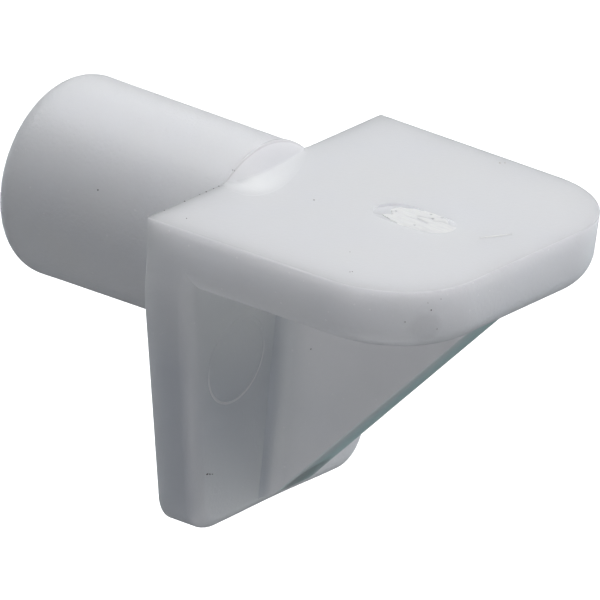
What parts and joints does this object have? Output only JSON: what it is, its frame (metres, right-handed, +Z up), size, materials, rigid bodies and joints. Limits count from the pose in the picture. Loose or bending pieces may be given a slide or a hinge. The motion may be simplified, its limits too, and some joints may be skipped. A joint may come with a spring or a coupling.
{
  "type": "shelf support pin",
  "caption": "One-piece moulded plastic shelf support: a round pin for a drilled hole, a flat rounded ledge that carries the shelf, and a gusset under it.",
  "frame": {"origin": "point where the pin's axis meets the back face of the wall", "axes": "-X along the pin toward its free end, +X toward the ledge's front, +Y across the ledge, +Z up and normal to the ledge's top"},
  "size_m": [0.0177, 0.0116, 0.0113],
  "materials": {
    "translucent_plastic": "translucent white moulded plastic, smooth on the ledge's top and sides, fine spark-eroded grain on the pin and the ledge's front"
  },
  "bodies": {
    "root": {"support_body": "translucent_plastic"}
  },
  "joints": []
}
